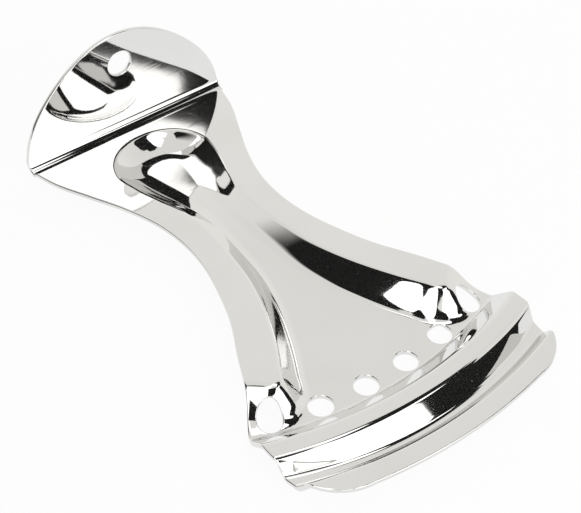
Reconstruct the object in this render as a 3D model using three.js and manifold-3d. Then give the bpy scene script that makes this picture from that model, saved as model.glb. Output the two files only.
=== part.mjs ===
// Guitar tailpiece: one pressed and plated sheet, lying with its flap up as it is photographed.
// Millimetres. In the sheet's own frame x runs from the crease to the front lip, y across and z up
// from the flat margins. The face that shows is the one that faces the guitar in use.
import * as THREE from "three";
import { mergeVertices } from "three/addons/utils/BufferGeometryUtils.js";
import Module from "manifold-3d";

// String holes, one pitch apart on a gentle arc
const strings = 6;
const pitch = 10.4;
const stringHole = 5.2;
const holesAt = 95.5;
const holesBow = 80.5;

// Sheet and outline: the front section reaches a margin past the outer string holes
const sheet = 1.0;
const creaseHalf = 26.6;
const waistHalf = 13.1;
const waistAt = 43.3;
const marginEndHalf = 27.6;
const marginEndAt = 85.7;
const deckMargin = 5.7;
const deckHalf = ((strings - 1) / 2) * pitch + deckMargin;
const deckHalfAt = 92.2;
const ridgeGain = 1.1;
const ridgeHalf = deckHalf + ridgeGain;
const ridgeHalfAt = 99.9;
const grooveGain = 0.4;
const grooveHalf = deckHalf + grooveGain;
const grooveHalfAt = 106.2;
const lipFall = 0.7;
const lipHalf = deckHalf - lipFall;
const lipHalfAt = 110.0;

// How much wider than the waist the outline is, over equal steps from crease to waist and from
// waist to the end of the margins, as shares of the width gained at each end
const rearOutlineShares = [1.0, 0.839, 0.555, 0.266, 0.067, 0.0];
const frontOutlineShares = [0.0, 0.049, 0.2, 0.411, 0.715, 1.0];

// Flap: it stands nearly upright, and its outline is nearly a half circle
const flapHeight = 26.1;
const flapCornerFall = 0.64;
const flapLean = THREE.MathUtils.degToRad(1.2);
const flapTopAngle = THREE.MathUtils.degToRad(86);
const bendRadius = 2.2;
const pinHole = 6.1;
const pinHeight = 18.1;

// Sunk panel: a round head behind the crease, a waist, then a flare into the string deck
const headStart = 5.6;
const headHalf = 11.9;
const headLong = 10.9;
const headDepth = 2.9;
const panelWaistHalf = 6.7;
const panelWaistAt = 42.4;
const panelWaistDepth = 2.2;
const panelFlareHalf = 20.5;
const panelFlareAt = 87.9;
const shoulderHalf = 23.1;
const shoulderAt = 88.7;
const deckDepth = 5.8;
const deckStart = 90.7;
const rearPanelShares = [1.0, 0.83, 0.553, 0.255, 0.052, 0.0];
const frontPanelShares = [0.0, 0.053, 0.144, 0.343, 0.633, 1.0];

// Flank of the panel: its width, how far behind the panel's edge it starts, and the half widths
// of the roundings at its top and foot, along the neck, round the head and at the outline
const neckFlank = { width: 4.4, back: 0.0, top: 0.45, foot: 1.3 };
const headFlank = { width: 4.4, back: 0.0, top: 0.45, foot: 1.8 };
const frontFlank = { width: 6.6, back: 1.6, top: 3.0, foot: 3.0 };

// Lines that cross the front section, each an arc: its place on the centre line, the radius of
// its bow, its height over the deck and the half width of the rounding there
const deckEnd = { at: 98.7, bow: 83.0, rise: 0.0, rounding: 0.6 };
const ridgeBack = { at: 103.6, bow: 88.0, rise: 4.6, rounding: 0.8 };
const ridgeFront = { at: 107.4, bow: 101.0, rise: 4.6, rounding: 0.65 };
const grooveBack = { at: 111.4, bow: 74.0, rise: 0.9, rounding: 0.5 };
const grooveFront = { at: 112.8, bow: 93.0, rise: 0.9, rounding: 0.5 };
const lipBack = { at: 114.6, bow: 107.0, rise: 3.4, rounding: 0.6 };
const lipFront = { at: 119.0, bow: 116.0 };
const crossLines = [deckEnd, ridgeBack, ridgeFront, grooveBack, grooveFront, lipBack];
const lipCornerHalf = 21.1;
const lipCornerRadius = 12.0;
const lipCurl = 0.8;

// Mesh counts
const flapRows = 12;
const bendRows = 5;
const headRows = 20;
const neckRows = 16;
const flareRows = 5;
const shoulderRows = 12;
const deckRows = 3;
const lipRows = 6;
const floorColumns = 4;
const marginColumns = 3;
const holeSides = 32;
const headArcPoints = 9;
const edgeSamples = 120;
const restSteps = 6;

// Small steps that follow the sizes above
const overrun = 2 * sheet;
const tangentStep = 0.01 * sheet;
const outside = 1.2 * ridgeHalf;

const { lerp, clamp, smoothstep } = THREE.MathUtils;
const headCentre = headStart + headLong;

// How far an arc that bows forward falls back at y from its place on the centre line
function sag(bow, y) {
  return bow - Math.sqrt(bow * bow - y * y);
}

// Zero, then a rising line, with a parabola of the given half width between the two
function roundedRamp(t, half) {
  if (t <= -half) {
    return 0;
  }
  if (t >= half) {
    return t;
  }
  return ((t + half) * (t + half)) / (4 * half);
}

// A smooth function through [place, value] points
function curveThrough(points) {
  const slopes = points.map((point, i) => {
    const before = points[Math.max(i - 1, 0)];
    const after = points[Math.min(i + 1, points.length - 1)];
    return (after[1] - before[1]) / (after[0] - before[0]);
  });
  return (x) => {
    let i = 0;
    while (i < points.length - 2 && x > points[i + 1][0]) {
      i += 1;
    }
    const [x0, y0] = points[i];
    const [x1, y1] = points[i + 1];
    const span = x1 - x0;
    const t = clamp((x - x0) / span, 0, 1);
    const lead = t * (1 - t) * (1 - t) * slopes[i] * span;
    const tail = t * t * (1 - t) * slopes[i + 1] * span;
    return lerp(y0, y1, t * t * (3 - 2 * t)) + lead - tail;
  };
}

// Points over equal steps between two places, each a share of the way from one width to another
function sharedPoints(from, to, base, gain, shares) {
  const last = shares.length - 1;
  return shares.map((share, i) => [lerp(from, to, i / last), base + gain * share]);
}

// Half width of the sheet along the plate
const outline = curveThrough([
  ...sharedPoints(0, waistAt, waistHalf, creaseHalf - waistHalf, rearOutlineShares),
  ...sharedPoints(waistAt, marginEndAt, waistHalf, marginEndHalf - waistHalf, frontOutlineShares).slice(1),
  [deckHalfAt, deckHalf],
  [ridgeHalfAt, ridgeHalf],
  [grooveHalfAt, grooveHalf],
  [lipHalfAt, lipHalf],
]);

// Half width of the sunk panel at its upper edge
const panelHalf = curveThrough([
  ...sharedPoints(headCentre, panelWaistAt, panelWaistHalf, headHalf - panelWaistHalf, rearPanelShares),
  ...sharedPoints(
    panelWaistAt,
    panelFlareAt,
    panelWaistHalf,
    panelFlareHalf - panelWaistHalf,
    frontPanelShares,
  ).slice(1),
]);

// Depth of the panel's floor along the plate
const panelDepth = curveThrough([
  [headStart, headDepth],
  [headCentre, headDepth],
  [panelWaistAt, panelWaistDepth],
  [(panelWaistAt + deckStart) / 2, (panelWaistDepth + deckDepth) / 2],
  [deckStart, deckDepth],
  [lipFront.at, deckDepth],
]);

// The panel's upper edge on one side, from the head round the shoulder and out past the margin
function panelEdge() {
  const points = [];
  for (let i = 0; i < headArcPoints; i += 1) {
    const angle = lerp(Math.PI, Math.PI / 2, i / (headArcPoints - 1));
    const x = headCentre + headLong * Math.cos(angle);
    points.push(new THREE.Vector2(x, headHalf * Math.sin(angle)));
  }
  const steps = neckRows + flareRows;
  for (let i = 1; i <= steps; i += 1) {
    const x = lerp(headCentre, panelFlareAt, i / steps);
    points.push(new THREE.Vector2(x, panelHalf(x)));
  }
  points.push(new THREE.Vector2(shoulderAt, shoulderHalf));
  points.push(new THREE.Vector2(marginEndAt, marginEndHalf));
  const reach = (outside - marginEndHalf) / (marginEndHalf - shoulderHalf);
  const farX = marginEndAt - reach * (shoulderAt - marginEndAt);
  points.push(new THREE.Vector2(farX, outside));
  return new THREE.SplineCurve(points).getPoints(edgeSamples);
}
const edge = panelEdge();
const panelRegion = [
  ...edge,
  new THREE.Vector2(lipFront.at + outside, outside),
  new THREE.Vector2(lipFront.at + outside, -outside),
  new THREE.Vector2(headStart, -outside),
];

function insidePanel(x, y) {
  let inside = false;
  panelRegion.forEach((a, i) => {
    const b = panelRegion[(i + 1) % panelRegion.length];
    if (a.y > y !== b.y > y && x < a.x + ((y - a.y) * (b.x - a.x)) / (b.y - a.y)) {
      inside = !inside;
    }
  });
  return inside;
}

// Distance inside the panel's upper edge, negative on the margins
function insideEdge(x, side) {
  const y = Math.abs(side);
  let least = Infinity;
  for (let i = 0; i < edge.length - 1; i += 1) {
    const a = edge[i];
    const b = edge[i + 1];
    const run = b.x - a.x;
    const climb = b.y - a.y;
    const t = clamp(((x - a.x) * run + (y - a.y) * climb) / (run * run + climb * climb), 0, 1);
    least = Math.min(least, Math.hypot(x - a.x - t * run, y - a.y - t * climb));
  }
  return insidePanel(x, y) ? least : -least;
}

// Rise over the deck along one cut through the front section
function frontRise(x, y) {
  const places = crossLines.map((line) => line.at - sag(line.bow, y));
  let height = 0;
  let slopeBefore = 0;
  crossLines.forEach((line, i) => {
    const next = crossLines[i + 1];
    const slope = next ? (next.rise - line.rise) / (places[i + 1] - places[i]) : 0;
    height += (slope - slopeBefore) * roundedRamp(x - places[i], line.rounding);
    slopeBefore = slope;
  });
  const lipShare = smoothstep(x, places[places.length - 2], places[places.length - 1]);
  return height + (lipCurl * lipShare * y * y) / (lipHalf * lipHalf);
}

// The flank's sizes at a point, between those of the neck, the head and the outline
function flankAt(x, y) {
  const head = 1 - smoothstep(x, headCentre, panelWaistAt);
  const front = clamp((Math.abs(y) - panelFlareHalf) / (deckHalf - panelFlareHalf), 0, 1);
  const blend = (name) => {
    const neck = neckFlank[name];
    return neck + (headFlank[name] - neck) * head + (frontFlank[name] - neck) * front;
  };
  return { width: blend("width"), back: blend("back"), top: blend("top"), foot: blend("foot") };
}

// Height of the showing face over the flat margins
function surfaceHeight(x, y) {
  const flank = flankAt(x, y);
  const inside = insideEdge(x, y) + flank.back;
  const fall = roundedRamp(inside, flank.top) - roundedRamp(inside - flank.width, flank.foot);
  return frontRise(x, y) - (panelDepth(x) * fall) / flank.width;
}

function surfacePoint(x, y) {
  return new THREE.Vector3(x, y, surfaceHeight(x, y));
}

function surfaceNormal(x, y) {
  const alongX = surfacePoint(x + tangentStep, y).sub(surfacePoint(x - tangentStep, y));
  const alongY = surfacePoint(x, y + tangentStep).sub(surfacePoint(x, y - tangentStep));
  return alongX.cross(alongY).normalize();
}

// The bend between plate and flap, by its turn and the distance from crease to its ends
const bendTurn = Math.PI / 2 + flapLean;
const bendReach = (bendRadius * Math.sin(bendTurn)) / (1 + Math.cos(bendTurn));
const flapUp = new THREE.Vector3(Math.sin(flapLean), 0, Math.cos(flapLean));
const flapOut = new THREE.Vector3(Math.cos(flapLean), 0, -Math.sin(flapLean));

// Columns of the grid across one half of a row, closer together on the panel's flank
function columnPlaces(x, half) {
  const flank = flankAt(x, 0);
  const top = panelHalf(Math.max(x, headCentre));
  const foot = top - flank.width;
  const aligned = [];
  for (let i = 0; i < floorColumns; i += 1) {
    aligned.push((foot * i) / floorColumns);
  }
  aligned.push(foot, foot + flank.foot);
  aligned.push((foot + flank.foot + top - flank.top) / 2);
  aligned.push(top - flank.top, top, top + flank.top);
  for (let i = 1; i <= marginColumns; i += 1) {
    aligned.push(lerp(top + flank.top, half, i / marginColumns));
  }
  const last = aligned.length - 1;
  const rear = smoothstep(x, bendReach, headCentre);
  const front = smoothstep(x, marginEndAt, deckHalfAt);
  return aligned.map((place, i) => lerp((half * i) / last, place, rear * (1 - front)));
}

function bothSides(places) {
  return [...places.slice(1).reverse().map((y) => -y), ...places];
}

// A row of the plate from its place on the centre line and its bow
function plateRow(at, bow, bowShare = 1) {
  let half = outline(at);
  for (let i = 0; i < flareRows; i += 1) {
    half = outline(at - bowShare * sag(bow, half));
  }
  return rowThrough(half, (y) => at - bowShare * sag(bow, y));
}

function rowThrough(half, place) {
  return bothSides(columnPlaces(place(half), half)).map((y) => {
    const x = place(y);
    return { point: surfacePoint(x, y), normal: surfaceNormal(x, y) };
  });
}

// Flap rows from the top edge down to the bend
function flapRowsDown() {
  const tall = (flapHeight - creaseHalf) / 2;
  const middle = (flapHeight + creaseHalf) / 2 - flapCornerFall;
  const rows = [];
  for (let i = 0; i <= flapRows; i += 1) {
    const least = Math.asin(bendReach / creaseHalf);
    const angle = lerp(flapTopAngle, least, i / flapRows);
    const reach = middle - tall * Math.cos(2 * angle) + flapCornerFall * Math.cos(4 * angle);
    const height = i === flapRows ? bendReach : reach * Math.sin(angle);
    const half = reach * Math.cos(angle);
    rows.push(
      bothSides(columnPlaces(0, half)).map((y) => ({
        point: flapUp.clone().multiplyScalar(height).setY(y),
        normal: flapOut.clone(),
      })),
    );
  }
  return rows;
}

// Rows round the inside of the bend, from the flap to the plate
function bendRowsDown() {
  const centre = new THREE.Vector3(bendReach, 0, bendRadius);
  const rows = [];
  for (let i = 1; i < bendRows; i += 1) {
    const angle = (bendTurn * (bendRows - i)) / bendRows;
    const normal = new THREE.Vector3(Math.sin(angle), 0, Math.cos(angle));
    rows.push(
      bothSides(columnPlaces(0, creaseHalf)).map((y) => ({
        point: centre.clone().addScaledVector(normal, -bendRadius).setY(y),
        normal: normal.clone(),
      })),
    );
  }
  return rows;
}

// Rows of the plate from the bend to the end of the deck, bowing more and more
function plateRowsForward() {
  const rows = [];
  const addRows = (from, to, count) => {
    for (let i = 0; i < count; i += 1) {
      const at = lerp(from, to, i / count);
      rows.push(plateRow(at, holesBow, smoothstep(at, panelWaistAt, deckStart)));
    }
  };
  const neckEnd = (panelWaistAt + deckHalfAt) / 2;
  const shoulderStart = marginEndAt - frontFlank.top;
  const shoulderEnd = deckHalfAt + frontFlank.width - neckFlank.width;
  addRows(bendReach, headCentre, headRows);
  addRows(headCentre, neckEnd, neckRows);
  addRows(neckEnd, shoulderStart, flareRows);
  addRows(shoulderStart, shoulderEnd, shoulderRows);
  addRows(shoulderEnd, deckEnd.at - deckEnd.rounding, deckRows);
  return rows;
}

// Rows at each cross line and at the ends of its rounding
function crossRows() {
  return crossLines.flatMap((line) =>
    [-line.rounding, 0, line.rounding].map((shift) => plateRow(line.at + shift, line.bow)),
  );
}

// Rows of the lip, whose ends run round its rounded corners
function lipRowsForward(from) {
  const start = new THREE.Vector2(from.x, Math.abs(from.y));
  const frontX = lipFront.at - sag(lipFront.bow, lipCornerHalf);
  const end = new THREE.Vector2(frontX, lipCornerHalf);
  const chord = end.clone().sub(start);
  const inward = new THREE.Vector2(chord.y, -chord.x).normalize();
  const setback = Math.sqrt(lipCornerRadius * lipCornerRadius - chord.lengthSq() / 4);
  const centre = start.clone().add(end).divideScalar(2).addScaledVector(inward, setback);
  const startAngle = Math.atan2(start.y - centre.y, start.x - centre.x);
  const endAngle = Math.atan2(end.y - centre.y, end.x - centre.x);
  const rows = [];
  for (let i = 1; i <= lipRows; i += 1) {
    const share = i / lipRows;
    const angle = lerp(startAngle, endAngle, share);
    const half = centre.y + lipCornerRadius * Math.sin(angle);
    const bow = lerp(lipBack.bow, lipFront.bow, share);
    const at = centre.x + lipCornerRadius * Math.cos(angle) + sag(bow, half);
    rows.push(rowThrough(half, (y) => at - sag(bow, y)));
  }
  return rows;
}

// A closed mesh from rows of points with normals: the showing face, the hidden face one sheet
// thickness behind it, and the rim between them
function sheetFromRows(rows) {
  const width = rows[0].length;
  const positions = [];
  rows.forEach((row) => row.forEach(({ point }) => positions.push(...point.toArray())));
  rows.forEach((row) =>
    row.forEach(({ point, normal }) => {
      positions.push(...point.clone().addScaledVector(normal, -sheet).toArray());
    }),
  );
  const behind = rows.length * width;
  const indices = [];
  const quad = (a, b, c, d) => indices.push(a, b, c, a, c, d);
  for (let i = 0; i < rows.length - 1; i += 1) {
    for (let j = 0; j < width - 1; j += 1) {
      const a = i * width + j;
      quad(a, a + width, a + width + 1, a + 1);
      quad(behind + a, behind + a + 1, behind + a + width + 1, behind + a + width);
    }
    const left = i * width;
    const right = left + width - 1;
    quad(left, behind + left, behind + left + width, left + width);
    quad(right, right + width, behind + right + width, behind + right);
  }
  for (let j = 0; j < width - 1; j += 1) {
    const top = j;
    const front = behind - width + j;
    quad(top, top + 1, behind + top + 1, behind + top);
    quad(front, behind + front, behind + front + 1, front + 1);
  }
  const geometry = new THREE.BufferGeometry();
  geometry.setAttribute("position", new THREE.Float32BufferAttribute(positions, 3));
  geometry.setIndex(indices);
  return geometry;
}

const wasm = await Module();
wasm.setup();

function toSolid(geometry) {
  const bare = geometry.clone();
  bare.deleteAttribute("normal");
  bare.deleteAttribute("uv");
  const merged = mergeVertices(bare);
  return new wasm.Manifold(
    new wasm.Mesh({
      numProp: 3,
      vertProperties: merged.attributes.position.array,
      triVerts: new Uint32Array(merged.index.array),
    }),
  );
}

function toGeometry(solid) {
  const mesh = solid.getMesh();
  const geometry = new THREE.BufferGeometry();
  geometry.setAttribute("position", new THREE.BufferAttribute(mesh.vertProperties, 3));
  geometry.setIndex(new THREE.BufferAttribute(mesh.triVerts, 1));
  const flat = geometry.toNonIndexed();
  flat.computeVertexNormals();
  return flat;
}

// A cutter for a round hole through the sheet at a point, along a direction
function holeCutter(diameter, point, direction, depth) {
  const cutter = new THREE.CylinderGeometry(diameter / 2, diameter / 2, depth, holeSides);
  const turn = new THREE.Quaternion().setFromUnitVectors(new THREE.Vector3(0, 1, 0), direction);
  cutter.applyQuaternion(turn);
  cutter.translate(point.x, point.y, point.z);
  return toSolid(cutter);
}

function makeSheet() {
  const rows = [...flapRowsDown(), ...bendRowsDown(), ...plateRowsForward(), ...crossRows()];
  const lastRow = rows[rows.length - 1];
  rows.push(...lipRowsForward(lastRow[lastRow.length - 1].point));
  let solid = toSolid(sheetFromRows(rows));
  const deep = 2 * (deckDepth + overrun);
  const up = new THREE.Vector3(0, 0, 1);
  for (let i = 0; i < strings; i += 1) {
    const y = (i - (strings - 1) / 2) * pitch;
    const place = new THREE.Vector3(holesAt - sag(holesBow, y), y, -deckDepth);
    solid = solid.subtract(holeCutter(stringHole, place, up, deep));
  }
  const pinPlace = flapUp.clone().multiplyScalar(pinHeight);
  return solid.subtract(holeCutter(pinHole, pinPlace, flapOut, 2 * (sheet + overrun)));
}

const chrome = new THREE.MeshStandardMaterial({ name: "chrome", color: 0xdfe0de });
chrome.metalness = 1.0;
chrome.roughness = 0.06;

const plate = new THREE.Mesh(toGeometry(makeSheet()), chrome);
plate.name = "tailpiece_plate";

// The slope of the line that the sheet rests on: its lowest points behind and ahead of its middle
function restSlope(geometry) {
  const box = new THREE.Box3().setFromBufferAttribute(geometry.attributes.position);
  const middle = box.getCenter(new THREE.Vector3()).x;
  const points = [];
  for (let i = 0; i < geometry.attributes.position.count; i += 1) {
    points.push(new THREE.Vector3().fromBufferAttribute(geometry.attributes.position, i));
  }
  const rear = points.filter((point) => point.x < middle);
  const front = points.filter((point) => point.x >= middle);
  let slope = 0;
  const lower = (a, b) => (a.z - slope * a.x < b.z - slope * b.x ? a : b);
  for (let i = 0; i < restSteps; i += 1) {
    const heel = rear.reduce(lower);
    const toe = front.reduce(lower);
    slope = (toe.z - heel.z) / (toe.x - heel.x);
  }
  return slope;
}

const lying = new THREE.Group();
lying.rotation.y = Math.atan(restSlope(plate.geometry));
lying.add(plate);

const tailpiece = new THREE.Group();
tailpiece.add(lying);
tailpiece.updateMatrixWorld(true);
const extent = new THREE.Box3().setFromObject(lying, true);
lying.position.x = -(extent.min.x + extent.max.x) / 2;
lying.position.z = -extent.min.z;

export default tailpiece;
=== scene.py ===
import math

import bmesh
import bpy
import numpy as np
from mathutils import Matrix, Vector


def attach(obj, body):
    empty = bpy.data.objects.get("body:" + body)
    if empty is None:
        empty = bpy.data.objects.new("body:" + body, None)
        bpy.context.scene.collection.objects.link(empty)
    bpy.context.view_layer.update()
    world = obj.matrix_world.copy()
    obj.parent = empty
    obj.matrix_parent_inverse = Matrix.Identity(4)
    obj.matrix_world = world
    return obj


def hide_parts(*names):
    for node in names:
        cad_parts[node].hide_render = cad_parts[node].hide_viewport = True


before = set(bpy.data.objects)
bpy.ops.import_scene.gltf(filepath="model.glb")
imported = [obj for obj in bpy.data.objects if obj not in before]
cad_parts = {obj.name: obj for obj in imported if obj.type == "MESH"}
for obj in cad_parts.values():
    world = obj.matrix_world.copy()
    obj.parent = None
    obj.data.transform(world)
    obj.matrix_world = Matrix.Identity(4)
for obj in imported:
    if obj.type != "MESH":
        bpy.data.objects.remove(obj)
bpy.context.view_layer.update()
scene = bpy.context.scene

# The plate's sizes, in millimetres. x runs along it from the crease, y across it and z up from its plane.
MM = 0.001
SHEET = 1.0
RIM = 0.22

CREASE_HALF = 26.6
WAIST_HALF = 13.1
WAIST_AT = 43.3
MARGIN_END_HALF = 27.6
MARGIN_END_AT = 85.7
DECK_HALF = 31.7
DECK_HALF_AT = 92.2
RIDGE_HALF = 32.8
RIDGE_HALF_AT = 99.9
GROOVE_HALF = 32.1
GROOVE_HALF_AT = 106.2
LIP_HALF = 31.0
LIP_HALF_AT = 110.0
# The outline's share of the way between its half widths, behind the waist and ahead of it
REAR_OUTLINE = [1.0, 0.839, 0.555, 0.266, 0.067, 0.0]
FRONT_OUTLINE = [0.0, 0.049, 0.2, 0.411, 0.715, 1.0]

FLAP_HEIGHT = 26.1
FLAP_CORNER_FALL = 0.64
FLAP_LEAN = math.radians(1.2)
BEND_RADIUS = 2.2
PIN_HOLE = 6.1
PIN_HEIGHT = 18.1

HEAD_START = 5.6
HEAD_HALF = 11.9
HEAD_LONG = 10.9
HEAD_DEPTH = 2.9
PANEL_WAIST_HALF = 6.7
PANEL_WAIST_AT = 42.4
PANEL_WAIST_DEPTH = 2.2
PANEL_FLARE_HALF = 20.5
PANEL_FLARE_AT = 87.9
SHOULDER_HALF = 23.1
SHOULDER_AT = 88.7
DECK_DEPTH = 5.8
DECK_START = 90.7
# The same shares for the sunken panel's edge, behind its waist and ahead of it
REAR_PANEL = [1.0, 0.83, 0.553, 0.255, 0.052, 0.0]
FRONT_PANEL = [0.0, 0.053, 0.144, 0.343, 0.633, 1.0]

# The panel's flank along the neck, round the head and at the outline: its width, how far behind
# the panel's edge it starts, and the roundings at its top and foot
NECK_FLANK = np.array([4.4, 0.0, 0.45, 1.3])
HEAD_FLANK = np.array([4.4, 0.0, 0.45, 3.6])
FRONT_FLANK = np.array([6.6, 1.6, 3.0, 3.0])

STRINGS = 6
PITCH = 10.4
STRING_HOLE = 5.2
HOLES_AT = 95.5
HOLES_BOW = 80.5
# Where each bend line of the bridge end crosses the middle, its bow, its height and its rounding
CROSS = [
    (98.7, 83.0, 0.0, 0.6),
    (103.6, 88.0, 4.6, 0.8),
    (107.4, 101.0, 4.6, 0.65),
    (111.4, 74.0, 0.9, 0.5),
    (112.8, 93.0, 0.9, 0.5),
    (114.6, 107.0, 3.4, 0.6),
]
LIP_FRONT_AT = 119.0
LIP_FRONT_BOW = 116.0
LIP_CORNER_HALF = 21.1
LIP_CORNER_RADIUS = 12.0
LIP_CURL = 0.8

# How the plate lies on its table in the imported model: its slope, and the place of its zero point
REST_SLOPE = math.radians(2.083645)
REST_X = -58.8827
REST_Z = 3.498773

# The skin's grid: columns over half the width, the rows' spacing and the steps of each rounding
COLUMNS = 120
ROW_STEP = 0.4
BEND_LINE_STEP = 0.16
LEAST_ROWS = 6
LAST_BEND_ROWS = 3
LIP_CORNER_ROWS = 28
FLAP_ROWS = 90
BEND_ROWS = 14
RIM_STEPS = 5
HOLE_RINGS = 7
HOLE_MARGIN = 1.0
# The panel's edge: steps round its head, along its neck and of the fine line through them, and how far
# it runs on, as a share of the ridge's half width
HEAD_STEPS = 8
NECK_STEPS = 21
EDGE_STEPS = 1600
EDGE_OVERRUN = 1.2
# How many places are measured against the panel's edge at once
BATCH = 4000
# How often a place is worked out anew until it has settled, and the step for a slope
ROW_ROUNDS = 8
FLAP_ROUNDS = 20
OUTLINE_STEP = 0.05
NORMAL_STEP = 0.04
# Points closer than this, in metres, are one
MERGE = 1e-7


# The plate's form
def sag(bow, y):
    """How far a line of this bow falls back at y."""
    return bow - np.sqrt(bow * bow - y * y)


def smoothstep(x, a, b):
    t = np.clip((x - a) / (b - a), 0, 1)
    return t * t * (3 - 2 * t)


def ramp(t, half):
    """Zero below zero and t above it, rounded over half to each side."""
    return np.where(t <= -half, 0.0, np.where(t >= half, t, (t + half) ** 2 / (4 * half)))


def curve_through(points):
    """A smooth curve y(x) through points, level beyond its ends."""
    px = np.array([p[0] for p in points], float)
    py = np.array([p[1] for p in points], float)
    k = np.arange(len(px))
    before = np.maximum(k - 1, 0)
    after = np.minimum(k + 1, len(px) - 1)
    slope = (py[after] - py[before]) / (px[after] - px[before])

    def value(x):
        x = np.asarray(x, float)
        i = np.clip(np.searchsorted(px, x, side="left") - 1, 0, len(px) - 2)
        span = px[i + 1] - px[i]
        t = np.clip((x - px[i]) / span, 0, 1)
        lead = t * (1 - t) ** 2 * slope[i] * span
        tail = t * t * (1 - t) * slope[i + 1] * span
        return py[i] + (py[i + 1] - py[i]) * t * t * (3 - 2 * t) + lead - tail

    return value


def shared(a, b, base, gain, shares):
    """Points at even steps from a to b, each its share of gain above base."""
    last = len(shares) - 1
    return [(a + (b - a) * i / last, base + gain * s) for i, s in enumerate(shares)]


HEAD_CENTRE = HEAD_START + HEAD_LONG
outline = curve_through(
    shared(0, WAIST_AT, WAIST_HALF, CREASE_HALF - WAIST_HALF, REAR_OUTLINE)
    + shared(WAIST_AT, MARGIN_END_AT, WAIST_HALF, MARGIN_END_HALF - WAIST_HALF, FRONT_OUTLINE)[1:]
    + [
        (DECK_HALF_AT, DECK_HALF),
        (RIDGE_HALF_AT, RIDGE_HALF),
        (GROOVE_HALF_AT, GROOVE_HALF),
        (LIP_HALF_AT, LIP_HALF),
    ]
)
HEAD_GAIN = HEAD_HALF - PANEL_WAIST_HALF
FLARE_GAIN = PANEL_FLARE_HALF - PANEL_WAIST_HALF
panel_half = curve_through(
    shared(HEAD_CENTRE, PANEL_WAIST_AT, PANEL_WAIST_HALF, HEAD_GAIN, REAR_PANEL)
    + shared(PANEL_WAIST_AT, PANEL_FLARE_AT, PANEL_WAIST_HALF, FLARE_GAIN, FRONT_PANEL)[1:]
)
panel_depth = curve_through(
    [
        (HEAD_START, HEAD_DEPTH),
        (HEAD_CENTRE, HEAD_DEPTH),
        (PANEL_WAIST_AT, PANEL_WAIST_DEPTH),
        ((PANEL_WAIST_AT + DECK_START) / 2, (PANEL_WAIST_DEPTH + DECK_DEPTH) / 2),
        (DECK_START, DECK_DEPTH),
        (LIP_FRONT_AT, DECK_DEPTH),
    ]
)


def panel_edge():
    """The sunken panel's edge over one half of the plate, as a fine line."""
    points = []
    for i in range(HEAD_STEPS + 1):
        a = math.pi - (math.pi / 2) * i / HEAD_STEPS
        points.append((HEAD_CENTRE + HEAD_LONG * math.cos(a), HEAD_HALF * math.sin(a)))
    for i in range(1, NECK_STEPS + 1):
        x = HEAD_CENTRE + (PANEL_FLARE_AT - HEAD_CENTRE) * i / NECK_STEPS
        points.append((x, float(panel_half(x))))
    points.append((SHOULDER_AT, SHOULDER_HALF))
    points.append((MARGIN_END_AT, MARGIN_END_HALF))
    far = EDGE_OVERRUN * RIDGE_HALF
    reach = (far - MARGIN_END_HALF) / (MARGIN_END_HALF - SHOULDER_HALF)
    points.append((MARGIN_END_AT - reach * (SHOULDER_AT - MARGIN_END_AT), far))
    q = np.array(points)
    last = len(q) - 1
    t = np.linspace(0, last, EDGE_STEPS + 1)
    i = np.minimum(t.astype(int), last - 1)
    w = (t - i)[:, None]
    p0 = q[np.maximum(i - 1, 0)]
    p1 = q[i]
    p2 = q[i + 1]
    p3 = q[np.minimum(i + 2, last)]
    v1 = (p2 - p0) / 2
    v2 = (p3 - p1) / 2
    return (2 * p1 - 2 * p2 + v1 + v2) * w**3 + (3 * p2 - 3 * p1 - 2 * v1 - v2) * w**2 + v1 * w + p1


EDGE = panel_edge()


def inside_panel(x, y):
    """How far each place lies inside the panel's edge, negative outside it."""
    out = np.empty(len(x))
    for start in range(0, len(x), BATCH):
        part = slice(start, start + BATCH)
        q = np.stack([x[part], np.abs(y[part])], 1)
        nearest = ((q[:, :1] - EDGE[:, 0]) ** 2 + (q[:, 1:] - EDGE[:, 1]) ** 2).argmin(1)
        best = np.full(len(q), np.inf)
        for first in (nearest - 1, nearest):
            i = np.clip(first, 0, len(EDGE) - 2)
            a, b = EDGE[i], EDGE[i + 1]
            ab = b - a
            t = np.clip(((q - a) * ab).sum(1) / (ab * ab).sum(1), 0, 1)
            r = q - a - ab * t[:, None]
            distance = np.hypot(r[:, 0], r[:, 1])
            side = ab[:, 0] * (q[:, 1] - a[:, 1]) - ab[:, 1] * (q[:, 0] - a[:, 0])
            signed = np.where(side < 0, distance, -distance)
            best = np.where(distance < np.abs(best), signed, best)
        out[part] = best
    return out


def front_rise(x, y):
    """How far the ridge, the groove and the lip stand over the deck."""
    places = [at - sag(bow, y) for at, bow, high, half in CROSS]
    rise = 0
    before = 0
    for i, (at, bow, high, half) in enumerate(CROSS):
        slope = 0
        if i + 1 < len(CROSS):
            slope = (CROSS[i + 1][2] - high) / (places[i + 1] - places[i])
        rise = rise + (slope - before) * ramp(x - places[i], half)
        before = slope
    t = smoothstep(x, places[-2], places[-1])
    return rise + LIP_CURL * t * y * y / LIP_HALF**2


def height(x, y):
    """The top face's height over the plate's plane."""
    shape = np.shape(x)
    x = np.asarray(x, float).ravel()
    y = np.asarray(y, float).ravel()
    head = (1 - smoothstep(x, HEAD_CENTRE, PANEL_WAIST_AT))[:, None]
    front = np.clip((np.abs(y) - PANEL_FLARE_HALF) / (DECK_HALF - PANEL_FLARE_HALF), 0, 1)[:, None]
    flank = NECK_FLANK + (HEAD_FLANK - NECK_FLANK) * head + (FRONT_FLANK - NECK_FLANK) * front
    width, back, top, foot = flank.T
    inside = inside_panel(x, y) + back
    fall = ramp(inside, top) - ramp(inside - width, foot)
    return (front_rise(x, y) - panel_depth(x) * fall / width).reshape(shape)


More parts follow.
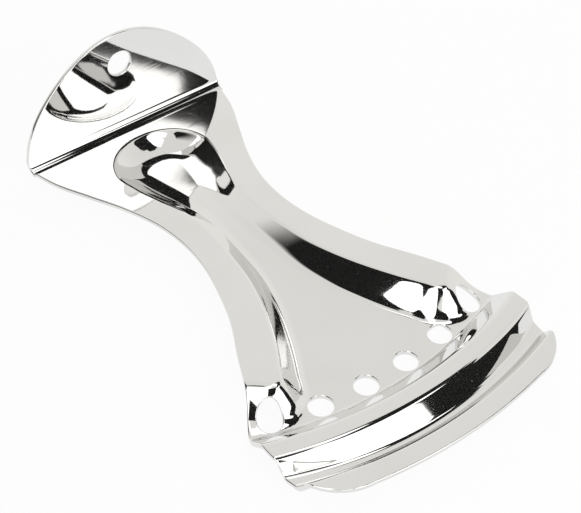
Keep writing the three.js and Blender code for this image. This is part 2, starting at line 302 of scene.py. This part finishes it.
TURN = math.pi / 2 + FLAP_LEAN
REACH = BEND_RADIUS * math.sin(TURN) / (1 + math.cos(TURN))
FLAP_UP = np.array([math.sin(FLAP_LEAN), 0, math.cos(FLAP_LEAN)])
FLAP_FACE = np.array([math.cos(FLAP_LEAN), 0, -math.sin(FLAP_LEAN)])
ACROSS = np.array([0.0, 1.0, 0.0])
PLACES = np.linspace(-1, 1, 2 * COLUMNS + 1)


def row_half(at, bow, share):
    """Half the plate's width where a bowed row meets the outline, less the rim's rounding."""
    half = float(outline(at))
    for _ in range(ROW_ROUNDS):
        x = at - share * sag(bow, half)
        slope = float(outline(x + OUTLINE_STEP) - outline(x - OUTLINE_STEP)) / (2 * OUTLINE_STEP)
        half = float(outline(x))
    return half - RIM * math.sqrt(1 + slope * slope)


def bowed_row(at, bow, share=1.0, half=None):
    """A row of places across the plate, bent back towards its ends by a share of the bow."""
    y = PLACES * (row_half(at, bow, share) if half is None else half)
    return np.stack([at - share * sag(bow, y), y], 1)


def lip_corner_rows(start):
    """Rows past the last bend line, whose ends follow the lip's round corner from start."""
    last_bow = CROSS[-1][1]
    end = np.array([LIP_FRONT_AT - sag(LIP_FRONT_BOW, LIP_CORNER_HALF), LIP_CORNER_HALF])
    chord = end - start
    inward = np.array([chord[1], -chord[0]]) / np.linalg.norm(chord)
    centre = (start + end) / 2 + inward * math.sqrt(LIP_CORNER_RADIUS**2 - chord @ chord / 4)
    a0 = math.atan2(start[1] - centre[1], start[0] - centre[0])
    a1 = math.atan2(end[1] - centre[1], end[0] - centre[0])
    radius = LIP_CORNER_RADIUS - RIM
    rows = []
    for i in range(1, LIP_CORNER_ROWS + 1):
        t = i / LIP_CORNER_ROWS
        a = a0 + (a1 - a0) * t
        half = centre[1] + radius * math.sin(a)
        bow = last_bow + (LIP_FRONT_BOW - last_bow) * t
        rows.append(bowed_row(centre[0] + radius * math.cos(a) + sag(bow, half), bow, half=half))
    return rows


def plan_rows():
    """Rows of places over the plate, from the bend to the lip's front edge."""
    rows = []
    at = REACH
    while at < CROSS[0][0] - ROW_STEP / 2:
        rows.append(bowed_row(at, HOLES_BOW, float(smoothstep(at, PANEL_WAIST_AT, DECK_START))))
        at += ROW_STEP
    for a, b in zip(CROSS, CROSS[1:]):
        count = max(LEAST_ROWS, int((b[0] - a[0]) / BEND_LINE_STEP))
        for k in range(count):
            t = k / count
            rows.append(bowed_row(a[0] + (b[0] - a[0]) * t, a[1] + (b[1] - a[1]) * t))
    last_at, last_bow, _, last_half = CROSS[-1]
    for k in range(LAST_BEND_ROWS + 1):
        rows.append(bowed_row(last_at + last_half * k / LAST_BEND_ROWS, last_bow))
    corner_start = rows[-1][-1] + np.array([0, RIM])
    return np.array(rows + lip_corner_rows(corner_start))


def flap_rows():
    """Rows of places on the flap, each a place across and a height, from its arch to the bend."""
    tall = (FLAP_HEIGHT - CREASE_HALF) / 2
    middle = (FLAP_HEIGHT + CREASE_HALF) / 2 - FLAP_CORNER_FALL

    def reach(turn):
        return middle - tall * np.cos(2 * turn) + FLAP_CORNER_FALL * np.cos(4 * turn) - RIM

    least = 0.0
    for _ in range(FLAP_ROUNDS):
        least = math.asin(REACH / float(reach(least)))
    turn = least + (math.pi / 2 - least) * (1 - np.abs(PLACES))
    y1 = reach(turn) * np.cos(turn) * np.sign(PLACES)
    h1 = np.maximum(reach(turn) * np.sin(turn), REACH)
    y0 = PLACES * y1[-1]
    rows = []
    for i in range(FLAP_ROWS + 1):
        s = 1 - i / FLAP_ROWS
        rows.append(np.stack([y0 + (y1 - y0) * s, REACH + (h1 - REACH) * s], 1))
    return np.array(rows)


def bend_rows():
    """Rows of points round the bend, from the flap to the plate, and their normals."""
    centre = np.array([REACH, 0, BEND_RADIUS])
    across = PLACES[:, None] * (CREASE_HALF - RIM) * ACROSS
    rows = []
    normals = []
    for i in range(1, BEND_ROWS):
        a = TURN * (BEND_ROWS - i) / BEND_ROWS
        normal = np.array([math.sin(a), 0, math.cos(a)])
        rows.append(centre - BEND_RADIUS * normal + across)
        normals.append(np.broadcast_to(normal, (len(PLACES), 3)))
    return np.array(rows), np.array(normals)


def flap_point(places):
    """Points of the flap's face over the guitar, from places across and heights."""
    return places[..., 1:] * FLAP_UP + places[..., :1] * ACROSS


def flap_normal(places):
    return np.broadcast_to(FLAP_FACE, places.shape[:-1] + (3,))


def plate_point(places):
    """Points of the plate's top face, from places along and across."""
    return np.concatenate([places, height(places[..., 0], places[..., 1])[..., None]], -1)


def plate_normal(places):
    x, y = places[..., 0], places[..., 1]
    gx = (height(x + NORMAL_STEP, y) - height(x - NORMAL_STEP, y)) / (2 * NORMAL_STEP)
    gy = (height(x, y + NORMAL_STEP) - height(x, y - NORMAL_STEP)) / (2 * NORMAL_STEP)
    n = np.stack([-gx, -gy, np.ones_like(gx)], -1)
    return n / np.linalg.norm(n, axis=-1, keepdims=True)


flap = flap_rows()
plate = plan_rows()
bend, bend_normal = bend_rows()
TOP = np.concatenate([flap_point(flap), bend, plate_point(plate)])
NORMAL = np.concatenate([flap_normal(flap), bend_normal, plate_normal(plate)])
FIRST_PLATE_ROW = FLAP_ROWS + BEND_ROWS


# The sheet's skin, above and below
class Skin:
    """Gathers points and faces of the sheet, each face given once."""

    def __init__(self):
        self.points = []
        self.faces = []

    def add(self, points):
        """Adds points and returns their numbers, in the same arrangement."""
        first = sum(len(p) for p in self.points)
        flat = np.asarray(points, float).reshape(-1, 3)
        self.points.append(flat)
        return first + np.arange(len(flat)).reshape(np.shape(points)[:-1])

    def band(self, a, b):
        """Quads between two closed lines of points, facing a to b turned left."""
        for k in range(len(a)):
            j = (k + 1) % len(a)
            self.faces.append((a[k], a[j], b[j], b[k]))


skin = Skin()
top = skin.add(TOP)
under = skin.add(TOP - NORMAL * SHEET)
rows, columns = top.shape
open_cell = np.zeros((rows - 1, columns - 1), bool)


def rounded_rim(at, up, out):
    """Lines of points that round the sheet's edge over, from its upper and from its lower face."""
    upper = []
    lower = []
    for k in range(1, RIM_STEPS + 1):
        a = math.pi / 2 * k / RIM_STEPS
        drop = RIM * (1 - math.cos(a))
        aside = out * RIM * math.sin(a)
        upper.append(skin.add(at - up * drop + aside))
        lower.append(skin.add(at - up * (SHEET - drop) + aside))
    return upper, lower


def block_round(places, centre, reach):
    """The block of the grid round a hole, as first and last row and column."""
    near = np.abs(places - centre).max(-1) < reach
    i = np.nonzero(near.any(1))[0]
    j = np.nonzero(near.any(0))[0]
    return i[0], i[-1], j[0], j[-1]


def hole(places, first_row, centre, radius, point, normal):
    """A round hole: the block of the grid round it becomes rings that run down to the hole's wall."""
    centre = np.array(centre)
    i0, i1, j0, j1 = block_round(places, centre, radius + HOLE_MARGIN)
    open_cell[first_row + i0 : first_row + i1, j0:j1] = True
    loop = [(i0, j) for j in range(j0, j1)] + [(i, j1) for i in range(i0, i1)]
    loop += [(i1, j) for j in range(j1, j0, -1)] + [(i, j0) for i in range(i1, i0, -1)]
    border = np.array([places[i, j] for i, j in loop])
    spoke = border - centre
    angle = np.arctan2(spoke[:, 1], spoke[:, 0])
    ray = np.stack([np.cos(angle), np.sin(angle)], 1)
    ring = centre + ray * (radius + RIM)
    lines_top = [np.array([top[first_row + i, j] for i, j in loop])]
    lines_under = [np.array([under[first_row + i, j] for i, j in loop])]
    for k in range(1, HOLE_RINGS + 1):
        place = border + (ring - border) * math.sin(math.pi / 2 * k / HOLE_RINGS)
        at = point(place)
        lines_top.append(skin.add(at))
        lines_under.append(skin.add(at - normal(place) * SHEET))
    up = normal(ring)
    outward = point(centre + ray) - point(np.array([centre] * len(ray)))
    inward = (outward * up).sum(1, keepdims=True) * up - outward
    inward /= np.linalg.norm(inward, axis=1, keepdims=True)
    upper, lower = rounded_rim(point(ring), up, inward)
    lines_top += upper
    lines_under += lower
    first, later = spoke[0], spoke[len(spoke) // 3]
    clockwise = first[0] * later[1] < first[1] * later[0]
    for lines, flip in ((lines_top, False), (lines_under, True)):
        for a, b in zip(lines, lines[1:]):
            skin.band(*((b, a) if flip != clockwise else (a, b)))
    a, b = lines_top[-1], lines_under[-1]
    skin.band(*((b, a) if clockwise else (a, b)))


def faces_of_grid():
    """The upper and the lower face, but for the blocks that the holes have taken."""
    for i in range(rows - 1):
        for j in range(columns - 1):
            if open_cell[i, j]:
                continue
            skin.faces.append((top[i, j], top[i + 1, j], top[i + 1, j + 1], top[i, j + 1]))
            skin.faces.append((under[i, j], under[i, j + 1], under[i + 1, j + 1], under[i + 1, j]))


def outer_rim():
    """The rim, rounded over above and below, all the way round."""
    around = [(0, j) for j in range(columns)]
    around += [(i, columns - 1) for i in range(FLAP_ROWS + 1, rows)]
    around += [(rows - 1, j) for j in range(columns - 2, -1, -1)]
    around += [(i, 0) for i in range(rows - 2, FLAP_ROWS, -1)]
    at = np.array([TOP[i, j] for i, j in around])
    up = np.array([NORMAL[i, j] for i, j in around])
    along = np.roll(at, -1, 0) - np.roll(at, 1, 0)
    outward = np.cross(along, up)
    outward /= np.linalg.norm(outward, axis=1, keepdims=True)
    if ((at - at.mean(0)) * outward).sum() < 0:
        outward = -outward
    upper, lower = rounded_rim(at, up, outward)
    first = np.array([top[i, j] for i, j in around])
    last = np.array([under[i, j] for i, j in around])
    lines = [first, *upper, *reversed(lower), last]
    for a, b in zip(lines, lines[1:]):
        skin.band(b, a)


for k in range(STRINGS):
    y = (k - (STRINGS - 1) / 2) * PITCH
    string_at = (HOLES_AT - sag(HOLES_BOW, y), y)
    hole(plate, FIRST_PLATE_ROW, string_at, STRING_HOLE / 2, plate_point, plate_normal)
hole(flap, 0, (0.0, PIN_HEIGHT), PIN_HOLE / 2, flap_point, flap_normal)
faces_of_grid()
outer_rim()

cos_rest, sin_rest = math.cos(REST_SLOPE), math.sin(REST_SLOPE)
REST = Matrix(
    (
        (cos_rest, 0, -sin_rest, REST_X * MM),
        (0, 1, 0, 0),
        (sin_rest, 0, cos_rest, REST_Z * MM),
        (0, 0, 0, 1),
    )
)


def closed_mesh(name):
    """The skin as one smooth mesh, laid on its table."""
    placed = np.concatenate(skin.points) @ np.array(REST.to_3x3()).T * MM + np.array(REST.translation)
    made = bpy.data.meshes.new(name)
    made.from_pydata(placed.tolist(), [], [tuple(int(v) for v in face) for face in skin.faces])
    bm = bmesh.new()
    bm.from_mesh(made)
    bmesh.ops.remove_doubles(bm, verts=bm.verts, dist=MERGE)
    bmesh.ops.dissolve_degenerate(bm, edges=bm.edges, dist=MERGE)
    bmesh.ops.recalc_face_normals(bm, faces=bm.faces)
    bm.to_mesh(made)
    bm.free()
    made.polygons.foreach_set("use_smooth", np.ones(len(made.polygons), bool))
    return made


# Nodes of materials
def node(tree, kind, inputs=None, **settings):
    """A node with its settings, each of its inputs set to a value or linked to a socket."""
    made = tree.nodes.new(kind)
    for name, value in settings.items():
        setattr(made, name, value)
    for socket, value in (inputs or {}).items():
        if isinstance(value, bpy.types.NodeSocket):
            tree.links.new(value, made.inputs[socket])
        else:
            made.inputs[socket].default_value = value
    return made


def material(name, surface):
    """A material whose surface is what the given function makes in its tree."""
    made = bpy.data.materials.new(name)
    made.use_nodes = True
    tree = made.node_tree
    tree.nodes.clear()
    node(tree, "ShaderNodeOutputMaterial", {"Surface": surface(tree)})
    return made


def matt(tree, colour):
    return node(tree, "ShaderNodeBsdfDiffuse", {"Color": colour}).outputs["BSDF"]


def shine(tree, colour, strength=1.0):
    return node(tree, "ShaderNodeEmission", {"Color": colour, "Strength": strength}).outputs["Emission"]


def mixed(tree, share, one, other):
    """One shader, and where share rises to 1 the other."""
    return node(tree, "ShaderNodeMixShader", {"Fac": share, 1: one, 2: other}).outputs["Shader"]


def clouds(tree, place, scale, detail):
    """Noise of this many cells to the metre."""
    noise = node(tree, "ShaderNodeTexNoise", {"Vector": place, "Scale": scale, "Detail": detail})
    return noise.outputs["Fac"]


def span(tree, source, shown, least=0.0, most=1.0):
    """A smooth rise from least to most while source runs through the range that is shown."""
    low, high = shown
    inputs = {"Value": source, "From Min": low, "From Max": high, "To Min": least, "To Max": most}
    return node(tree, "ShaderNodeMapRange", inputs, interpolation_type="SMOOTHSTEP").outputs["Result"]


def sums(tree, one, other, operation="ADD"):
    """Two values added up, or taken together by another operation."""
    return node(tree, "ShaderNodeMath", {0: one, 1: other}, operation=operation).outputs[0]


def tones(tree, source, *stops):
    """A colour that runs between two stops, each a position and a colour."""
    made = node(tree, "ShaderNodeValToRGB", {"Fac": source})
    for element, (position, colour) in zip(made.color_ramp.elements, stops):
        element.position = position
        element.color = colour
    return made.outputs["Color"]


# The plating: the cells of its noises to the metre, the parts of their ranges that show, and the
# stops of its tint, each a place in the smudges' range and a colour
SMUDGE_SCALE = 60
SMUDGE_DETAIL = 5
SMUDGE_SHOWN = (0.35, 0.7)
HAIR_SCALE = 900
HAIR_DETAIL = 2
HAIR_SHOWN = (0.62, 0.72)
SPECK_SCALE = 2600
SPECK_DETAIL = 1
SPECK_SHOWN = (0.74, 0.8)
CHROME_DARK = (0.3, (0.745, 0.741, 0.732, 1))
CHROME_LIGHT = (0.7, (0.775, 0.772, 0.765, 1))
LEAST_ROUGHNESS = 0.03
SMUDGE_ROUGHNESS = 0.06
SPECK_ROUGHNESS = 0.25
HAIR_STRETCH = (1.0, 0.06, 0.3)
HAIR_TURN = (0, 0, 0.5)
RELIEF_STRENGTH = 0.05
RELIEF_DISTANCE = 0.00002


def chrome_plating(tree):
    """Bright chrome with faint smudges, fine hairlines and specks of dust."""
    place = node(tree, "ShaderNodeTexCoord").outputs["Object"]
    drawn = {"Vector": place, "Scale": HAIR_STRETCH, "Rotation": HAIR_TURN}
    hair_place = node(tree, "ShaderNodeMapping", drawn).outputs["Vector"]
    smudge = clouds(tree, place, SMUDGE_SCALE, SMUDGE_DETAIL)
    hairs = span(tree, clouds(tree, hair_place, HAIR_SCALE, HAIR_DETAIL), HAIR_SHOWN)
    specks = span(tree, clouds(tree, place, SPECK_SCALE, SPECK_DETAIL), SPECK_SHOWN)
    dull = span(tree, smudge, SMUDGE_SHOWN, LEAST_ROUGHNESS, SMUDGE_ROUGHNESS)
    dusty = span(tree, specks, (0.0, 1.0), most=SPECK_ROUGHNESS)
    relief = {
        "Height": sums(tree, hairs, specks),
        "Strength": RELIEF_STRENGTH,
        "Distance": RELIEF_DISTANCE,
    }
    plating = {
        "Metallic": 1.0,
        "Base Color": tones(tree, smudge, CHROME_DARK, CHROME_LIGHT),
        "Roughness": sums(tree, dull, dusty),
        "Normal": node(tree, "ShaderNodeBump", relief).outputs["Normal"],
    }
    return node(tree, "ShaderNodeBsdfPrincipled", plating).outputs["BSDF"]


mesh = closed_mesh("tailpiece")
mesh.materials.append(material("chrome", chrome_plating))
tailpiece = bpy.data.objects.new("tailpiece", mesh)
scene.collection.objects.link(tailpiece)
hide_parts("tailpiece_plate")
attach(tailpiece, "root")

# The studio. Its boards stand where the photograph's black and white reflections come from, DOME metres
# from the plate's middle. Each has two edges, lists of (azimuth, elevation) in degrees in the plate's own
# frame. A board that overlaps another stands a little nearer.
DOME = 0.38
NEARER = 0.376
NEAREST = 0.374
CENTRE_AT = 60.0
STEPS_ALONG = 4
STEPS_ACROSS = 16

HEAD_BOX_EDGE = [
    (-32, -2), (-31, 10), (-30, 18), (-27, 26), (-16, 30), (-8, 36), (-3, 41), (2, 45), (8, 47),
]
HEAD_EDGE = [
    (44, -2), (38, 12), (30, 22), (26.5, 29), (27.2, 37.3), (34.5, 38.2), (41, 39.4), (41, 43), (36, 47),
]
RIGHT_EDGE = [
    (60, -2), (55, 8), (52, 14), (48, 23), (45, 30), (50, 36), (56, 42), (60, 46), (62, 50),
]
BAR_FOOT = [(8, 47), (20, 47), (34, 47), (62, 50), (76, 53), (90, 60), (112, 64), (128, 66)]
BAR_TOP = [(8, 56), (20, 61), (34, 65), (60, 69), (76, 72), (90, 74), (112, 75), (128, 74)]
CAMERA_FLAG_LEFT = [(-40, 28), (-43, 42), (-46, 58)]
CAMERA_FLAG_RIGHT = [(-12, 30), (-3, 42), (6, 58)]
SLIM_FLAG_LEFT = [(-16.5, 6), (-16.5, 22)]
SLIM_FLAG_RIGHT = [(-13.5, 6), (-13.5, 22)]
LEFT_BOX_LEFT = [(-74, 10), (-74, 32), (-71, 45), (-66, 60), (-60, 80)]
LEFT_BOX_RIGHT = [(-38, 10), (-40, 28), (-40, 45), (-40, 60), (-20, 80)]
BACK_FLAG_LEFT = [(-158, -2), (-156, 32), (-154, 45), (-152, 60), (-142, 76)]
BACK_FLAG_RIGHT = [(-75, -2), (-74, 32), (-71, 45), (-66, 60), (-75, 78)]
OVERHEAD_EDGE = [(-60, 82), (-20, 81), (0, 78), *BAR_TOP[1:], (138, 74)]
OVERHEAD_TOP = [(az, 88) for az, el in OVERHEAD_EDGE]

BOARD_WHITE = (1, 0.997, 0.985, 1)
BOARD_STRENGTH = 1.9
CLOTH_BLACK = (0.02, 0.02, 0.02, 1)
CLOTH_FADE = 0.35
PAPER_WHITE = (1, 1, 1, 1)
# The share of plain white in the floor where it is seen or mirrored. The rest keeps the shadow.
PAPER_CLEAR = 0.92
FLOOR_HALF = 4.0
# The room's tone behind the fading cloth, and its stops, each the sine of an elevation and a colour
ROOM = (0.925, 0.913, 0.882, 1)
ROOM_LOW = (0.5, (0.97, 0.958, 0.926, 1))
ROOM_HIGH = (0.85, (0.88, 0.869, 0.84, 1))

centre = REST @ (Vector((CENTRE_AT, 0, 0)) * MM)


def direction(az, el):
    """A direction given in the plate's own frame, turned into the room."""
    a, e = math.radians(az), math.radians(el)
    return REST.to_3x3() @ Vector((math.cos(e) * math.cos(a), math.cos(e) * math.sin(a), math.sin(e)))


def soft_box(tree):
    """A white board that shines."""
    return shine(tree, BOARD_WHITE, BOARD_STRENGTH)


def black_flag(tree):
    """A plain dark cloth."""
    return matt(tree, CLOTH_BLACK)


def back_cloth(tree):
    """A dark cloth that comes up out of the room's own tone over its first share across."""
    across = node(tree, "ShaderNodeAttribute", attribute_name="across").outputs["Fac"]
    return mixed(tree, span(tree, across, (0.0, CLOTH_FADE)), shine(tree, ROOM), matt(tree, CLOTH_BLACK))


def floor_paper(tree):
    """White paper. The camera, metal and glass see it nearly as plain white, with a faint shadow."""
    rays = node(tree, "ShaderNodeLightPath").outputs
    seen = sums(tree, rays["Is Camera Ray"], rays["Is Glossy Ray"], "MAXIMUM")
    through = sums(tree, seen, rays["Is Transmission Ray"], "MAXIMUM")
    clear = sums(tree, through, PAPER_CLEAR, "MULTIPLY")
    return mixed(tree, clear, matt(tree, PAPER_WHITE), shine(tree, PAPER_WHITE))


def drawn_out(edge):
    """A board's edge with points between its own, each an azimuth and an elevation."""
    t = np.linspace(0, len(edge) - 1, STEPS_ALONG * (len(edge) - 1) + 1)
    return np.stack([np.interp(t, np.arange(len(edge)), side) for side in zip(*edge)], 1)


def board(name, one, other, finish, distance=DOME):
    """A curved studio board between two edges of as many points each."""
    first, last = drawn_out(one)[:, None], drawn_out(other)[:, None]
    share = np.linspace(0, 1, STEPS_ACROSS + 1)
    places = first + (last - first) * share[:, None]
    verts = [centre + direction(az, el) * distance for az, el in places.reshape(-1, 2)]
    width = len(share)
    faces = []
    for i in range(len(places) - 1):
        for j in range(STEPS_ACROSS):
            v = i * width + j
            faces.append((v, v + 1, v + width + 1, v + width))
    shape = bpy.data.meshes.new(name)
    shape.from_pydata(verts, [], faces)
    across = shape.attributes.new("across", "FLOAT", "POINT")
    across.data.foreach_set("value", np.tile(share, len(places)))
    shape.materials.append(finish)
    made = bpy.data.objects.new(name, shape)
    # It is seen only where the chrome mirrors it, so that it never stands before a camera
    made.visible_camera = False
    scene.collection.objects.link(made)


black = material("black_flag", black_flag)
bright = material("soft_box", soft_box)
board("head_box", HEAD_BOX_EDGE, HEAD_EDGE, bright)
board("right_flag", HEAD_EDGE, RIGHT_EDGE, black)
board("bar_flag", BAR_FOOT, BAR_TOP, black)
board("camera_flag", CAMERA_FLAG_LEFT, CAMERA_FLAG_RIGHT, black, NEARER)
board("slim_flag", SLIM_FLAG_LEFT, SLIM_FLAG_RIGHT, black, NEAREST)
board("left_box", LEFT_BOX_LEFT, LEFT_BOX_RIGHT, bright)
board("back_flag", BACK_FLAG_LEFT, BACK_FLAG_RIGHT, material("back_cloth", back_cloth))
board("top_box", OVERHEAD_EDGE, OVERHEAD_TOP, bright)

s = FLOOR_HALF
floor_mesh = bpy.data.meshes.new("floor")
floor_mesh.from_pydata([(-s, -s, 0), (s, -s, 0), (s, s, 0), (-s, s, 0)], [], [(0, 1, 2, 3)])
floor_mesh.materials.append(material("floor_paper", floor_paper))
floor = bpy.data.objects.new("floor", floor_mesh)
scene.collection.objects.link(floor)


def room():
    """The room, whose tone falls a little with height."""
    made = bpy.data.worlds.new("room")
    made.use_nodes = True
    tree = made.node_tree
    ways = node(tree, "ShaderNodeTexCoord").outputs["Generated"]
    up = node(tree, "ShaderNodeSeparateXYZ", {"Vector": ways}).outputs["Z"]
    sky = tree.nodes["Background"]
    sky.inputs["Strength"].default_value = 1.0
    tree.links.new(tones(tree, up, ROOM_LOW, ROOM_HIGH), sky.inputs["Color"])
    return made


scene.world = room()

# The camera, fitted to the photograph in the plate's own frame: its place in millimetres, the
# direction from which it looks, and its focal length in the photograph's pixels
CAMERA_AT = Vector((232.678, -124.065, 195.822))
AZIMUTH = math.radians(-36.372739)
ELEVATION = math.radians(42.588822)
ROLL = math.radians(-1.766611)
FOCAL_PIXELS = 1359.735
PHOTO_WIDTH = 581
SENSOR_WIDTH = 36.0


def photo_camera():
    """The camera that sees the plate as the photograph does."""
    back = Vector(
        (
            math.cos(ELEVATION) * math.cos(AZIMUTH),
            math.cos(ELEVATION) * math.sin(AZIMUTH),
            math.sin(ELEVATION),
        )
    )
    level = Vector((0, 0, 1)).cross(back).normalized()
    upright = back.cross(level)
    right = math.cos(ROLL) * level + math.sin(ROLL) * upright
    up = math.cos(ROLL) * upright - math.sin(ROLL) * level
    place = Matrix((right, up, back)).transposed().to_4x4()
    place.translation = CAMERA_AT * MM
    lens = bpy.data.cameras.new("camera")
    lens.sensor_fit = "HORIZONTAL"
    lens.sensor_width = SENSOR_WIDTH
    lens.lens = FOCAL_PIXELS * SENSOR_WIDTH / PHOTO_WIDTH
    lens.clip_start = 0.01
    lens.clip_end = 100
    made = bpy.data.objects.new("camera", lens)
    made.matrix_world = REST @ place
    return made


camera = photo_camera()
scene.collection.objects.link(camera)
scene.camera = camera
scene.view_settings.view_transform = "Standard"
